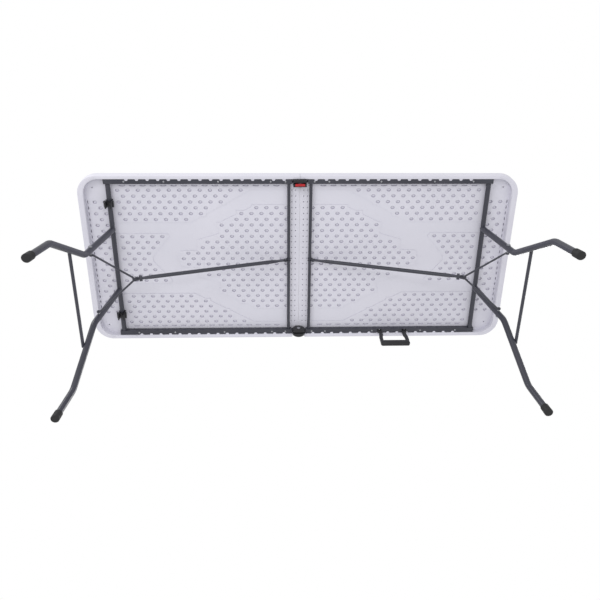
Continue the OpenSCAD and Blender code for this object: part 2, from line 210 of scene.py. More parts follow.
def addCamera():
    climb, swing, roll = (math.radians(view[k]) for k in ("climb", "swing", "roll"))
    ahead = Vector((math.sin(swing) * math.cos(climb), math.cos(swing) * math.cos(climb), math.sin(climb)))
    right = ahead.cross(Vector((0, 0, 1))).normalized()
    up = right.cross(ahead)
    across = right * math.cos(roll) + up * math.sin(roll)
    upward = up * math.cos(roll) - right * math.sin(roll)
    turn = Matrix((across, upward, -ahead)).transposed().to_4x4()
    bpy.ops.object.camera_add(location=view["place"])
    camera = bpy.context.active_object
    camera.matrix_world = Matrix.Translation(view["place"]) @ turn
    camera.data.lens = view["lens"]
    camera.data.sensor_width = view["sensor"]
    camera.data.clip_end = view["clipEnd"]
    camera.data.dof.use_dof = False
    bpy.context.scene.camera = camera


studio = {
    "worldColour": (1.0, 1.0, 1.0, 1.0),
    "worldSeen": 1.0,
    "worldGlow": 0.84,
    "floorSize": 16.0,
    "floorDrop": 0.0005,
    "floorColour": (0.80, 0.80, 0.80, 1.0),
    # place, aim, size, power
    "lamps": [
        ((-1.8, -2.6, -1.4), (0.0, 0.0, 0.70), 1.4, 24.0),
        ((0.1, -1.9, -2.0), (0.0, 0.0, 0.70), 0.5, 9.0),
        ((2.4, 2.0, 3.0), (0.0, 0.0, 0.6), 2.0, 50.0),
        ((-2.8, -2.6, 2.4), (0.0, 0.0, 0.5), 1.6, 34.0),
    ],
}


def addWorld():
    world = bpy.data.worlds.new("studio")
    world.use_nodes = True
    background = world.node_tree.nodes["Background"]
    background.inputs["Color"].default_value = studio["worldColour"]
    # the backdrop looks white, but lights the table less, so that the lamps shape it
    seen = world.node_tree.nodes.new("ShaderNodeLightPath")
    level = world.node_tree.nodes.new("ShaderNodeMapRange")
    level.inputs["To Min"].default_value = studio["worldGlow"]
    level.inputs["To Max"].default_value = studio["worldSeen"]
    world.node_tree.links.new(seen.outputs["Is Camera Ray"], level.inputs["Value"])
    world.node_tree.links.new(level.outputs[0], background.inputs["Strength"])
    bpy.context.scene.world = world
    bpy.context.scene.view_settings.view_transform = "Standard"


def addFloor():
    # pale from above, clear from below, so that the table can be seen from under it
    allOff()
    bpy.ops.mesh.primitive_plane_add(size=studio["floorSize"], location=(0, 0, -studio["floorDrop"]))
    floor = newPiece("studioFloor")
    kit = Finish("floorFinish", Roughness=0.9)
    kit.shader.inputs["Base Color"].default_value = studio["floorColour"]
    side = kit.make("ShaderNodeNewGeometry")["Backfacing"]
    clear = kit.make("ShaderNodeBsdfTransparent")["BSDF"]
    blend = kit.tree.nodes.new("ShaderNodeMixShader")
    kit.feed(blend.inputs[0], side)
    kit.tree.links.new(kit.shader.outputs[0], blend.inputs[1])
    kit.tree.links.new(clear.socket, blend.inputs[2])
    kit.tree.links.new(blend.outputs[0], kit.tree.nodes["Material Output"].inputs[0])
    floor.data.materials.append(kit.material)
    floor.visible_shadow = False
    floor.visible_diffuse = False
    floor.visible_glossy = False


def addLamp(place, aim, size, power):
    bpy.ops.object.light_add(type="AREA", location=place)
    lamp = bpy.context.active_object
    lamp.data.shape = "DISK"
    lamp.data.size = size
    lamp.data.energy = power
    toward = Vector(aim) - Vector(place)
    lamp.rotation_euler = toward.to_track_quat("-Z", "Y").to_euler()


# shader maths: a wrapped socket, on which +, -, * and / add Math nodes

class Wire:
    def __init__(self, kit, socket):
        self.kit = kit
        self.socket = socket

    def math(self, operation, *others, clamp=False):
        node = self.kit.tree.nodes.new("ShaderNodeMath")
        node.operation = operation
        node.use_clamp = clamp
        for place, value in enumerate((self,) + others):
            self.kit.feed(node.inputs[place], value)
        return Wire(self.kit, node.outputs[0])

    def __add__(self, other):
        return self.math("ADD", other)

    def __sub__(self, other):
        return self.math("SUBTRACT", other)

    def __mul__(self, other):
        return self.math("MULTIPLY", other)

    def __truediv__(self, other):
        return self.math("DIVIDE", other)

    def __rsub__(self, other):
        return (self * -1) + other

    __radd__ = __add__
    __rmul__ = __mul__

    def between(self, low, high):
        return ((self - low) / (high - low)).math("MULTIPLY", 1, clamp=True)

    def band(self, base, limits):
        # rises between the first two limits and falls between the last two
        a, b, c, d = (base + limit for limit in limits)
        return self.between(a, b) * (1 - self.between(c, d))


class Finish:
    def __init__(self, name, **settings):
        self.material = bpy.data.materials.new(name)
        self.material.use_nodes = True
        self.tree = self.material.node_tree
        self.shader = self.tree.nodes["Principled BSDF"]
        self.place = self.make("ShaderNodeTexCoord")["Object"]
        for key, value in settings.items():
            self.shader.inputs[key].default_value = value

    def feed(self, socket, value):
        if isinstance(value, Wire):
            self.tree.links.new(value.socket, socket)
        elif value is not None:
            socket.default_value = value

    def make(self, kind, settings=None, **inputs):
        node = self.tree.nodes.new(kind)
        for key, value in (settings or {}).items():
            setattr(node, key, value)
        for key, value in inputs.items():
            self.feed(node.inputs[key.replace("_", " ")], value)
        return {out.name: Wire(self, out) for out in node.outputs if out.enabled}

    def noise(self, scale, detail=3, roughness=0.5, where=None):
        return self.make("ShaderNodeTexNoise", None, Vector=where or self.place, Scale=scale,
                         Detail=detail, Roughness=roughness)["Fac"]

    def mix(self, amount, one, other):
        node = self.tree.nodes.new("ShaderNodeMix")
        node.data_type = "RGBA"
        self.feed(node.inputs[0], amount)
        self.feed(node.inputs[6], one)
        self.feed(node.inputs[7], other)
        return Wire(self, node.outputs[2])

    def bump(self, height, distance, strength=1.0, under=None):
        node = self.tree.nodes.new("ShaderNodeBump")
        node.inputs["Strength"].default_value = strength
        node.inputs["Distance"].default_value = distance
        self.feed(node.inputs["Height"], height)
        if under:
            self.feed(node.inputs["Normal"], under)
        return Wire(self, node.outputs[0])

    def set(self, **wires):
        for key, value in wires.items():
            self.feed(self.shader.inputs[key.replace("_", " ")], value)
        return self.material


def rgb(r, g, b):
    return (r, g, b, 1.0)


# heights are above the floor of the underside
mould = {
    "core": 0.0165,                             # from the upper face down to that floor
    "steep": (0.70, 0.95),                      # upright walls get painted shade, level faces keep their own colour
    "walls": (0.0001, 0.0005, 0.0042, 0.0050),
    "pits": (0.0055, 0.0060, 0.0070, 0.0074),
    "sides": (0.355, 0.357),                    # the painted shade ends here across the table
    "ends": (0.889, 0.8895),                    # and here along it
}


def mouldedPlastic(name, light, dark, shaded):
    kit = Finish(name, IOR=1.5)
    cloud = kit.noise(3.0, 4, 0.55).between(0.3, 0.7)
    scuff = kit.noise(60.0, 5, 0.65).between(0.56, 0.74)
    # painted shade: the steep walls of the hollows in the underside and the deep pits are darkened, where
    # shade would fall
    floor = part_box("right_top")[1].z - mould["core"]
    spot = kit.make("ShaderNodeSeparateXYZ", None, Vector=kit.place)
    facing = kit.make("ShaderNodeSeparateXYZ", None, Vector=kit.make("ShaderNodeTexCoord")["Normal"])
    steep = 1 - facing["Z"].math("ABSOLUTE").between(*mould["steep"])
    deep = spot["Z"].band(floor, mould["walls"])
    within = ((1 - spot["Y"].math("ABSOLUTE").between(*mould["sides"]))
              * (1 - spot["X"].math("ABSOLUTE").between(*mould["ends"])))
    pits = spot["Z"].band(floor, mould["pits"])
    # painted shade of the hollows' walls and of the pits, kept off the rim
    paintedShade = (steep * deep).math("MAXIMUM", pits) * within
    base = kit.mix(scuff * 0.10, kit.mix(cloud, light, dark), rgb(0.58, 0.58, 0.62))
    colour = kit.mix(paintedShade * 0.85, base, shaded)
    grain = kit.noise(900.0, 2, 0.5)
    pebble = kit.noise(260.0, 2, 0.5)
    return kit.set(
        Base_Color=colour,
        Roughness=0.40 + cloud * 0.08 + scuff * 0.10,
        Normal=kit.bump(grain * 0.4 + pebble * 0.6, 0.0004, 0.35),
    )


def powderCoat(name, colour, worn):
    kit = Finish(name, IOR=1.5)
    cloud = kit.noise(6.0, 4, 0.6).between(0.3, 0.7)
    rub = kit.noise(45.0, 5, 0.7).between(0.63, 0.76)
    shade = kit.mix(cloud * 0.5 + rub * 0.35, colour, worn)
    peel = kit.noise(700.0, 2, 0.5)
    return kit.set(
        Base_Color=shade,
        Roughness=0.30 + cloud * 0.07 + rub * 0.14,
        Normal=kit.bump(peel, 0.0003, 0.30),
    )


def blackPlastic(name, colour, rough, grainSize):
    kit = Finish(name, IOR=1.48)
    cloud = kit.noise(22.0, 4, 0.6).between(0.3, 0.7)
    dust = kit.noise(140.0, 5, 0.7).between(0.58, 0.78)
    shade = kit.mix(dust * 0.22, kit.mix(cloud, colour, tuple(c * 1.5 for c in colour[:3]) + (1.0,)),
                    rgb(0.10, 0.10, 0.11))
    return kit.set(
        Base_Color=shade,
        Roughness=rough + cloud * 0.07 + dust * 0.12,
        Normal=kit.bump(kit.noise(grainSize, 2, 0.5), 0.0003, 0.35),
    )


def zincSteel(name):
    kit = Finish(name, Metallic=1.0)
    cloud = kit.noise(90.0, 4, 0.6).between(0.3, 0.7)
    scratch = kit.noise(500.0, 3, 0.6).between(0.45, 0.75)
    return kit.set(
        Base_Color=kit.mix(cloud, rgb(0.46, 0.46, 0.48), rgb(0.30, 0.31, 0.34)),
        Roughness=0.28 + scratch * 0.22,
        Normal=kit.bump(scratch, 0.0001, 0.25),
    )


def redPlastic(name):
    kit = Finish(name, IOR=1.5, **{"Coat Roughness": 0.1})
    cloud = kit.noise(80.0, 3, 0.5).between(0.3, 0.7)
    return kit.set(
        Base_Color=kit.mix(cloud, rgb(0.62, 0.012, 0.02), rgb(0.36, 0.006, 0.012)),
        Roughness=0.22 + cloud * 0.08,
        Normal=kit.bump(kit.noise(500.0, 2, 0.5), 0.0002, 0.2),
    )


# the last colour is the painted shade for the hollows of the underside
topPlastic = mouldedPlastic("topPlastic", rgb(0.70, 0.69, 0.77), rgb(0.66, 0.655, 0.735),
                            rgb(0.36, 0.345, 0.43))
frameSteel = powderCoat("frameSteel", rgb(0.032, 0.033, 0.047), rgb(0.062, 0.063, 0.082))
nylonBlack = blackPlastic("nylonBlack", rgb(0.008, 0.008, 0.010), 0.36, 600.0)
footRubber = blackPlastic("footRubber", rgb(0.010, 0.010, 0.011), 0.58, 380.0)
fastenerZinc = zincSteel("fastenerZinc")
latchRed = redPlastic("latchRed")
slotMaterials = {
    "moulded_top": topPlastic,
    "frame_steel": frameSteel,
    "black_plastic": nylonBlack,
    "foot_rubber": footRubber,
    "zinc_steel": fastenerZinc,
    "latch_red": latchRed,
}

slotOf = {part["node"]: part["material_slot"] for part in frame["record"]["subparts"]}
bodyOf = {name: body for body, members in frame["record"]["behaviour"]["bodies"].items()
          for name in members}


def paintCadNodes():
    for name, node in nodes.items():
        node.data.materials.clear()
        node.data.materials.append(slotMaterials[slotOf[name]])
    print("cad nodes painted")


def standFor(piece, *replaced):
    slot = slotOf[replaced[0]]
    finishPiece(piece, bodyOf[replaced[0]], slot, slotMaterials[slot], *replaced)


# moulded tops: a dimpled underside, a rim, and a rounded upper edge

top = {
    "seam": 0.0004,
    "halfLength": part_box("right_top")[1].x,
    "halfWidth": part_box("right_top")[1].y,
    "high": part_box("right_top")[1].z,
    "lip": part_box("right_top")[0].z,
    "floor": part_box("right_top")[1].z - mould["core"],
    "rim": 0.016,
    "endRim": 0.025,
    "corner": 0.080,
    "cornerSteps": 16,
    "edgeRound": 0.009,
    "lipRound": 0.0032,
    "pitchX": 0.0425,
    "pitchY": 0.0258,
    "firstX": 0.0340,
    "rows": 12,
    "perRow": 19,
    "dimpleFrom": 0.055,
    "dimpleTo": 0.775,
    "fieldSlack": 0.002,
    "hollowMargin": 0.001,
    "hollowLip": 0.0006,
    "hollowDip": 0.0004,
    "hollowTaper": (0.66, 0.60),
    "dimpleX": 0.0196,
    "dimpleY": 0.0144,
    "dimpleDeep": 0.0046,
    "dotX": 0.0055,
    "dotY": 0.0062,
    "dotDeep": 0.0062,
    "ledgeX": 0.0300,
    "ledgeY": 0.0080,
    "ledgeDeep": 0.003,
    "ledgeShift": 0.0055,
    "dotFrom": 0.0085,
    "dotPitch": 0.0165,
    "fieldFrom": 0.0425,
    "fieldTo": 0.7905,
    "endFrom": 0.8120,
    "endTo": 0.8772,
    "endRows": 10,
    "endLap": 0.0125,
    "slotX": 0.8832,
    "slotSize": (0.0095, 0.0055, 0.0170),
    "channelDeep": 0.0016,
    "channelReach": 0.03,
    "cornerHole": (0.858, 0.322),
    "cornerBore": (0.0030, 0.0130),
}

# corners of the smooth channel in which the folded legs and brace lie, one quarter of it
channelPath = [
    (0.775, 0.117), (0.566, 0.117), (0.556, 0.105), (0.634, 0.010), (0.634, 0.000),
    (0.515, 0.000), (0.515, 0.036), (0.440, 0.036), (0.440, 0.088), (0.346, 0.116),
    (0.346, 0.164), (0.190, 0.243), (0.060, 0.243), (0.060, 0.312), (0.203, 0.312),
    (0.462, 0.168), (0.775, 0.168),
]


def insidePath(x, y, path):
    inside = False
    for (ax, ay), (bx, by) in zip(path, path[1:] + path[:1]):
        if (ay > y) != (by > y) and x < ax + (bx - ax) * (y - ay) / (by - ay):
            inside = not inside
    return inside


# edges of the dimpled fields, in stretches: how far from the middle line each starts, a place
# (along, across) that its edge passes, and how much nearer the fold it comes per metre outward
outerEdge = (
    (0.170, 0.46, 0.175, 1.69),
    (0.112, 1.00, 0.0, 0.0),
    (-1.0, 0.655, 0.0, 0.65),
)
innerEdge = (
    (0.240, 0.0, 0.0, 0.0),
    (0.165, 0.300, 0.175, 1.6),
    (0.090, 0.335, 0.0, 0.0),
    (0.035, 0.455, 0.0, 0.7),
    (-1.0, 0.500, 0.0, 0.0),
)


def edgeAt(stretches, out):
    along, across, slope = next(stretch[1:] for stretch in stretches if out > stretch[0])
    return along + slope * (across - out)


def isDimpled(x, y):
    slack = top["fieldSlack"]
    return x >= edgeAt(outerEdge, abs(y)) - slack or x <= edgeAt(innerEdge, abs(y)) + slack


def flatTile(width):
    allOff()
    bpy.ops.mesh.primitive_grid_add(x_subdivisions=6, y_subdivisions=2, size=1)
    tile = newPiece("flatTile")
    tile.data.transform(Matrix.Diagonal((width, top["pitchY"], 1, 1)))
    pickAll(tile)
    bpy.ops.mesh.dissolve_faces()
    bpy.ops.object.mode_set(mode="OBJECT")
    tile.data.materials.append(topPlastic)
    return tile


def hollowTile(width, hollowX, hollowY, deep, shift=0.0):
    tile = flatTile(width)
    pickAll(tile)
    bpy.ops.mesh.inset(thickness=top["hollowMargin"])
    bpy.ops.object.mode_set(mode="OBJECT")
    for point in tile.data.vertices:
        across = point.co.x / (width / 2)
        along = point.co.y / (top["pitchY"] / 2)
        # the tile's own outline stays, and the points inside it take the hollow's shape
        if max(abs(across), abs(along)) < 0.99:
            turn = math.atan2(along, across)
            point.co.x = math.cos(turn) * hollowX / 2
            point.co.y = math.sin(turn) * hollowY / 2 + shift
    pickFaces(tile, lambda face: len(face.vertices) > 4)
    bpy.ops.mesh.inset(thickness=top["hollowLip"])
    bpy.ops.transform.translate(value=(0, 0, top["hollowDip"]))
    bpy.ops.mesh.extrude_region_move(TRANSFORM_OT_translate={"value": (0, 0, deep)})
    bpy.ops.transform.resize(value=(*top["hollowTaper"], 1), center_override=(0, shift, 0))
    bpy.ops.object.mode_set(mode="OBJECT")
    return tile


def layRow(kinds, tiles, startX, y, width, laid):
    start = 0
    while start < len(kinds):
        count = 1
        while start + count < len(kinds) and kinds[start + count] == kinds[start]:
            count += 1
        run = copyOf(tiles[kinds[start]], "run", (startX + start * width, y, top["floor"]))
        if count > 1:
            withModifier(run, "ARRAY", count=count, use_relative_offset=False, use_constant_offset=True,
                         constant_offset_displace=(width, 0, 0))
        laid.append(run)
        start += count


def cutAt(piece, x, keepAbove):
    pickAll(piece)
    bpy.ops.mesh.bisect(plane_co=(x, 0, 0), plane_no=(1, 0, 0), threshold=fine["cut"],
                        clear_inner=keepAbove, clear_outer=not keepAbove)
    bpy.ops.object.mode_set(mode="OBJECT")


def rowShift(row):
    return top["pitchX"] / 2 * (row % 2)


def mainField(tiles):
    laid = []
    perRow = top["perRow"]
    for row in range(-top["rows"], top["rows"] + 1):
        y = row * top["pitchY"]
        startX = top["firstX"] + rowShift(row)
        places = [startX + step * top["pitchX"] for step in range(perRow)]
        kinds = ["dimple" if top["dimpleFrom"] < x < top["dimpleTo"] and isDimpled(x, y) else "flat"
                 for x in places]
        layRow(kinds, tiles, startX, y, top["pitchX"], laid)
    for side, kind in ((-1, "ledgeNear"), (1, "ledgeFar")):
        y = side * (top["rows"] + 1) * top["pitchY"]
        layRow(["flat"] + [kind] * (perRow - 3) + ["flat"] * 2, tiles,
               top["firstX"] + top["pitchX"] / 2, y, top["pitchX"], laid)
    field = joined(laid, "field")
    mergeDoubles(field)
    cutAt(field, top["fieldFrom"], True)
    cutAt(field, top["fieldTo"], False)
    return field


def foldStrip(tiles):
    laid = []
    for row in range(-top["rows"], top["rows"] + 1):
        layRow(["dot", "dot"], tiles, top["dotFrom"] + top["dotPitch"] / 2, row * top["pitchY"],
               top["dotPitch"], laid)
    strip = joined(laid, "foldStrip")
    mergeDoubles(strip)
    return strip


def endStrip(tiles):
    laid = []
    for row in range(-top["endRows"], top["endRows"] + 1):
        y = row * top["pitchY"]
        if row % 2:
            layRow(["flat", "dimple", "flat"], tiles, top["endFrom"] - top["pitchX"] / 2, y,
                   top["pitchX"], laid)
        else:
            layRow(["dimple", "dimple"], tiles, top["endFrom"], y, top["pitchX"], laid)
    strip = joined(laid, "endStrip")
    mergeDoubles(strip)
    cutAt(strip, top["endFrom"] - top["endLap"], True)
    cutAt(strip, top["endTo"], False)
    return strip


def slotStrip(tiles):
    laid = []
    for row in range(-top["endRows"], top["endRows"] + 1):
        laid.append(copyOf(tiles["slot"], "run", (top["slotX"], row * top["pitchY"], top["floor"])))
    strip = joined(laid, "slotStrip")
    mergeDoubles(strip)
    return strip


def onFloor(face):
    return abs(face.center.z - top["floor"]) < fine["near"]


def sinkChannel(field):
    reach = top["channelReach"]
    for side in (-1, 1):
        for (ax, ay), (bx, by) in zip(channelPath, channelPath[1:]):
            if ay == by == 0:
                continue
            low = (min(ax, bx) - reach, min(ay, by) - reach)
            high = (max(ax, bx) + reach, max(ay, by) + reach)
            pickFaces(field, lambda f: f.material_index == 1 and onFloor(f)
                      and low[0] < f.center.x < high[0] and low[1] < side * f.center.y < high[1])
            bpy.ops.mesh.bisect(plane_co=(ax, side * ay, 0), plane_no=(by - ay, -side * (bx - ax), 0),
                                threshold=fine["weld"])
            bpy.ops.object.mode_set(mode="OBJECT")
    pickFaces(field, lambda f: f.material_index == 1 and onFloor(f)
              and insidePath(f.center.x, abs(f.center.y), channelPath))
    bpy.ops.mesh.extrude_region_move(TRANSFORM_OT_translate={"value": (0, 0, top["channelDeep"])})
    bpy.ops.object.mode_set(mode="OBJECT")


def planOutline(name, length, width, corner, z):
    allOff()
    bpy.ops.mesh.primitive_plane_add(size=1)
    plan = newPiece(name)
    plan.data.transform(Matrix.Translation(((length + top["seam"]) / 2, 0, z))
                        @ Matrix.Diagonal((length - top["seam"], 2 * width, 1, 1)))
    plan.data.materials.append(topPlastic)
    pickPoints(plan, lambda p: p.x > length - fine["near"])
    bpy.ops.mesh.bevel(offset=corner, offset_type="OFFSET", segments=top["cornerSteps"],
                       affect="VERTICES")
    bpy.ops.object.mode_set(mode="OBJECT")
    return plan


def extrudedWalls(plan, z, keepFirst):
    pickAll(plan)
    bpy.ops.mesh.extrude_region_move(
        TRANSFORM_OT_translate={"value": (0, 0, top["lip"] - z)})
    bpy.ops.mesh.delete(type="ONLY_FACE")
    if not keepFirst:
        pickFaces(plan, lambda f: abs(f.normal.z) > 0.9)
        bpy.ops.mesh.delete(type="ONLY_FACE")
    bpy.ops.object.mode_set(mode="OBJECT")


def openEdges(piece):
    uses = {}
    for face in piece.data.polygons:
        for key in face.edge_keys:
            uses[key] = uses.get(key, 0) + 1
    edges = (tuple(sorted(edge.vertices)) for edge in piece.data.edges)
    return {edge for edge in edges if uses.get(edge, 0) < 2}


def pickOpenEdges(piece, wanted):
    editNothing(piece, "EDGE")
    loose = openEdges(piece)
    points = piece.data.vertices
    for edge in piece.data.edges:
        if tuple(sorted(edge.vertices)) in loose:
            edge.select = wanted(points[edge.vertices[0]].co, points[edge.vertices[1]].co)
    bpy.ops.object.mode_set(mode="EDIT")


def atFold(a, b):
    return a.x < top["seam"] + fine["near"] and b.x < top["seam"] + fine["near"]


def level(a, b, z):
    return abs(a.z - z) < fine["near"] and abs(b.z - z) < fine["near"]


def closeShell(whole):
    # the floor's edge along the fold, then the floor between the patterns, then the fold's end face
    inner = top["halfWidth"] - top["rim"]
    pickPoints(whole, lambda p: p.x < top["seam"] + fine["near"] and abs(abs(p.y) - inner) < fine["near"]
               and abs(p.z - top["floor"]) < fine["near"])
    bpy.ops.mesh.edge_face_add()
    pickOpenEdges(whole, lambda a, b: level(a, b, top["floor"]))
    bpy.ops.mesh.fill(use_beauty=True)
    pickOpenEdges(whole, atFold)
    bpy.ops.mesh.edge_face_add()
    mergeDoubles(whole)


def roundEdges(whole):
    pickEdges(whole, lambda a, b: level(a, b, top["high"]) and not atFold(a, b))
    bpy.ops.mesh.bevel(offset=top["edgeRound"], segments=5, affect="EDGES")
    pickEdges(whole, lambda a, b: level(a, b, top["lip"]) and not atFold(a, b))
    bpy.ops.mesh.bevel(offset=top["lipRound"], segments=3, affect="EDGES")
    bpy.ops.object.mode_set(mode="OBJECT")


hingeNotch = {"radius": 0.0288, "long": 0.060, "inward": 0.034}


def cutHingeNotch(whole):
    place = (0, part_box("hinge_dome_far")[0].y + hingeNotch["inward"], top["lip"])
    cutWith(whole, roundCutter(64, hingeNotch["radius"], hingeNotch["long"], place, (math.pi / 2, 0, 0)))


def boreCorners(whole):
    x, y = top["cornerHole"]
    for side in (-1, 1):
        cutWith(whole, roundCutter(24, *top["cornerBore"], (x, side * y, top["floor"])))


# snaps: small wedges on the rim's inner walls, that reach under the rails

snap = {
    "size": (0.020, 0.010, 0.0019),
    "out": 0.002,
    "under": 0.0012,
    "tip": (0.42, 1, 0.7),
    "tipLift": 0.0004,
    "round": 0.0005,
    "pitch": 0.0430,
    "first": 0.066,
    "span": 0.73,
}


def snapNub():
    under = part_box("right_rail_far")[0].z - snap["under"]
    nub = block("nub", (0, -snap["out"], under), snap["size"])
    pickFaces(nub, lambda f: f.normal.y < -0.9)
    bpy.ops.transform.resize(value=snap["tip"], center_override=(0, 0, under + snap["tipLift"]))
    bpy.ops.object.mode_set(mode="OBJECT")
    withModifier(nub, "BEVEL", width=snap["round"], segments=2)
    return nub


def addNubs(whole):
    nub = snapNub()
    laid = []
    inner = top["halfWidth"] - top["rim"]
    for side in (-1, 1):
        for step in range(int(snap["span"] / snap["pitch"])):
            piece = copyOf(nub, "nubCopy")
            if side < 0:
                piece.data.transform(Matrix.Rotation(math.pi, 4, "Z"))
            place = (snap["first"] + step * snap["pitch"], side * inner, 0)
            piece.data.transform(Matrix.Translation(place))
            laid.append(piece)
    bpy.data.objects.remove(nub)
    return joined([whole] + laid, "rightTop")


def buildRightTop():
    tiles = {
        "flat": flatTile(top["pitchX"]),
        "dimple": hollowTile(top["pitchX"], top["dimpleX"], top["dimpleY"], top["dimpleDeep"]),
        "dot": hollowTile(top["dotPitch"], top["dotX"], top["dotY"], top["dotDeep"]),
        "ledgeFar": hollowTile(top["pitchX"], top["ledgeX"], top["ledgeY"], top["ledgeDeep"],
                               -top["ledgeShift"]),
        "ledgeNear": hollowTile(top["pitchX"], top["ledgeX"], top["ledgeY"], top["ledgeDeep"],
                                top["ledgeShift"]),
        "slot": hollowTile(*top["slotSize"], top["dotDeep"]),
    }
    # a second material marks the flat tiles, until the channel is sunk into them
    tiles["flat"].data.materials.append(nylonBlack)
    for face in tiles["flat"].data.polygons:
        face.material_index = 1
    field = mainField(tiles)
    sinkChannel(field)
    parts = [field, foldStrip(tiles), endStrip(tiles), slotStrip(tiles)]
    for tile in tiles.values():
        bpy.data.objects.remove(tile)
    print("underside laid:", sum(len(part.data.polygons) for part in parts), "faces")

    body = planOutline("body", top["halfLength"], top["halfWidth"], top["corner"], top["high"])
    extrudedWalls(body, top["high"], True)
    recess = planOutline("recess", top["halfLength"] - top["endRim"], top["halfWidth"] - top["rim"],
                         top["corner"] - top["rim"], top["floor"])
    extrudedWalls(recess, top["floor"], False)
    shell = joined([body, recess], "shell")
    pickFaces(shell, lambda f: f.center.x < top["seam"] + fine["near"])
    bpy.ops.mesh.delete(type="ONLY_FACE")
    pickEdges(shell, lambda a, b: level(a, b, top["lip"]) and not atFold(a, b))
    bpy.ops.mesh.bridge_edge_loops()
    bpy.ops.object.mode_set(mode="OBJECT")
    # edges left with no face, where the fold's end was
    pickAll(shell)
    bpy.ops.mesh.delete_loose(use_verts=True, use_edges=True, use_faces=False)
    bpy.ops.object.mode_set(mode="OBJECT")
    whole = joined([shell] + parts, "topHalf")
    closeShell(whole)
    print("shell closed, open edges left:", len(openEdges(whole)))
    for face in whole.data.polygons:
        face.material_index = 0
    roundEdges(whole)
    cutHingeNotch(whole)
    boreCorners(whole)
    whole = addNubs(whole)
    smooth(whole, 30)
    print("top half:", len(whole.data.polygons), "faces, open edges:", len(openEdges(whole)))
    return whole


# helpers for the fittings

def turned(name, profile, sides=40):
    # a round piece built up from one end: each step is extruded along Z and scaled to its radius
    radius, z = profile[0]
    allOff()
    bpy.ops.mesh.primitive_circle_add(vertices=sides, radius=radius, fill_type="NGON", location=(0, 0, z))
    piece = newPiece(name)
    settle(piece)
    pickAll(piece)
    for nextRadius, nextZ in profile[1:]:
        bpy.ops.mesh.extrude_region_move(TRANSFORM_OT_translate={"value": (0, 0, nextZ - z)})
        scale = nextRadius / radius
        bpy.ops.transform.resize(value=(scale, scale, 1), center_override=(0, 0, nextZ))
        radius, z = nextRadius, nextZ
    bpy.ops.object.mode_set(mode="OBJECT")
    mergeDoubles(piece, fine["smallWeld"])
    return piece


def alongY(piece, x, y, z, side=1):
    piece.data.transform(Matrix.Translation((x, y, z)) @ Matrix.Rotation(-side * math.pi / 2, 4, "X"))
    return piece


def middleOf(node):
    low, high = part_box(node)
    return (low + high) / 2


def copyOfNode(node, name):
    piece = bpy.data.objects.new(name, nodes[node].data.copy())
    piece.data.name = name
    bpy.context.scene.collection.objects.link(piece)
    mergeDoubles(piece, fine["smallWeld"])
    pickAll(piece)
    bpy.ops.mesh.dissolve_limited(angle_limit=math.radians(0.4))
    bpy.ops.object.mode_set(mode="OBJECT")
    return piece


def bevelled(piece, width, segments=2, angle=32):
    withModifier(piece, "BEVEL", width=width, segments=segments, limit_method="ANGLE",
                 angle_limit=math.radians(angle))
    smooth(piece, 40)
    return piece


def camel(words):
    first, *others = words.split("_")
    return first + "".join(word.capitalize() for word in others)


# fittings whose edges are broken: node and width of the rounding

softEdges = {
    "left_rail_near": 0.0022, "left_rail_far": 0.0022, "right_rail_near": 0.0022, "right_rail_far": 0.0022,
    "left_rail_plugs": 0.0007, "right_rail_plugs": 0.0007,
    "latch_body": 0.0016, "hinge_cap_near": 0.0022, "hinge_cap_far": 0.0016, "hinge_dome_far": 0.0020,
    "hinge_pin_near": 0.0012, "hinge_pin_far": 0.0012,
    "handle_lugs": 0.0010,
    "left_lock_ring": 0.0011, "right_lock_ring": 0.0011,
    "left_strut_bracket": 0.0008, "right_strut_bracket": 0.0008,
    "left_pivot_bushes": 0.0006, "right_pivot_bushes": 0.0006,
}


def buildSoftEdges():
    for node, width in softEdges.items():
        piece = bevelled(copyOfNode(node, camel(node)), width, 3)
        standFor(piece, node)
    print("edges broken:", len(softEdges))


# clips that hold the folded table shut, pinched at the waist

clip = {"notch": 0.0078, "notchOut": 0.0175, "notchTall": 0.1, "rounding": 0.0012}


def buildClips():
    for node in ("clip_near", "clip_far"):
        piece = copyOfNode(node, camel(node))
        centre = middleOf(node)
        for side in (-1, 1):
            place = (centre.x, centre.y + side * clip["notchOut"], centre.z)
            cutWith(piece, roundCutter(40, clip["notch"], clip["notchTall"], place))
        standFor(bevelled(piece, clip["rounding"], 2), node)
    print("clips made")


# carry handle: a thick grip on two cranked arms

handle = {
    "gripLong": 0.130,
    "gripDeep": 0.021,
    "gripHigh": 0.028,
    "gripRound": 0.0082,
    "endRound": 0.0085,
    "panelEdge": 0.0010,
    "panelStep": 0.0005,
    "panelDeep": 0.0006,
    "armRound": 0.0016,
    "hubOut": 0.0523,
    # the arm from its hub down: out from the middle, down from the hinge line, width, depth
    "arm": ((0.0505, 0.000, 0.0118, 0.0066), (0.0505, 0.011, 0.0118, 0.0066),
            (0.0535, 0.019, 0.0172, 0.0074), (0.0540, 0.036, 0.0180, 0.0080),
            (0.0572, 0.047, 0.0160, 0.0092), (0.0578, 0.092, 0.0140, 0.0110)),
    "hub": ((0.0036, -0.0041), (0.0048, -0.0036), (0.0050, -0.0028), (0.0050, 0.0028), (0.0048, 0.0036),
            (0.0036, 0.0041)),
}


